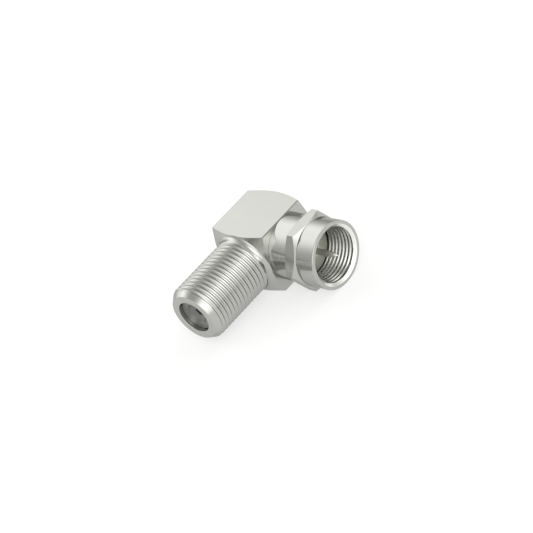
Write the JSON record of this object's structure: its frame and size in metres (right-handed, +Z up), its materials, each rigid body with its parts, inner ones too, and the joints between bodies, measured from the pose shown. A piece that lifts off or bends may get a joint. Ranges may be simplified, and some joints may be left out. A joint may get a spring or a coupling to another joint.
{
  "type": "right-angle coaxial adapter",
  "caption": "Right-angle coaxial adapter: square nickel-plated elbow with an outside-threaded socket barrel at one end and a free-turning hexagon coupling nut round a centre pin at the other.",
  "frame": {"origin": "middle of the square block's flat underside, straight below the crossing of the two port axes", "axes": "+X along the pin and the coupling nut, out of the nut's mouth; -Y along the threaded socket barrel, out of its mouth; +Z up, square to both, out of the block's top face"},
  "size_m": [0.0198, 0.0245, 0.0109],
  "materials": {
    "bright_nickel": "bright nickel plate on brass",
    "cap_nickel": "bright nickel plate on brass",
    "post_nickel": "nickel plate on turned brass",
    "white_plastic": "turned natural plastic",
    "pin_plate": "nickel plate on brass",
    "grey_plastic": "dark grey moulded plastic",
    "spring_bronze": "plain spring bronze",
    "nut_nickel": "bright nickel plate on brass"
  },
  "bodies": {
    "adapter": {"elbow_body": "bright_nickel", "rear_cap": "cap_nickel", "male_post": "post_nickel", "male_insulator": "white_plastic", "centre_pin": "pin_plate", "female_insulator": "grey_plastic", "female_contact": "spring_bronze"},
    "nut": {"coupling_nut": "nut_nickel"}
  },
  "joints": [
    {"name": "nut_spin", "type": "hinge", "parent": "adapter", "child": "nut", "pos_m": [0.0098, 0, 0.00525], "axis": [1, 0, 0], "continuous": true}
  ]
}
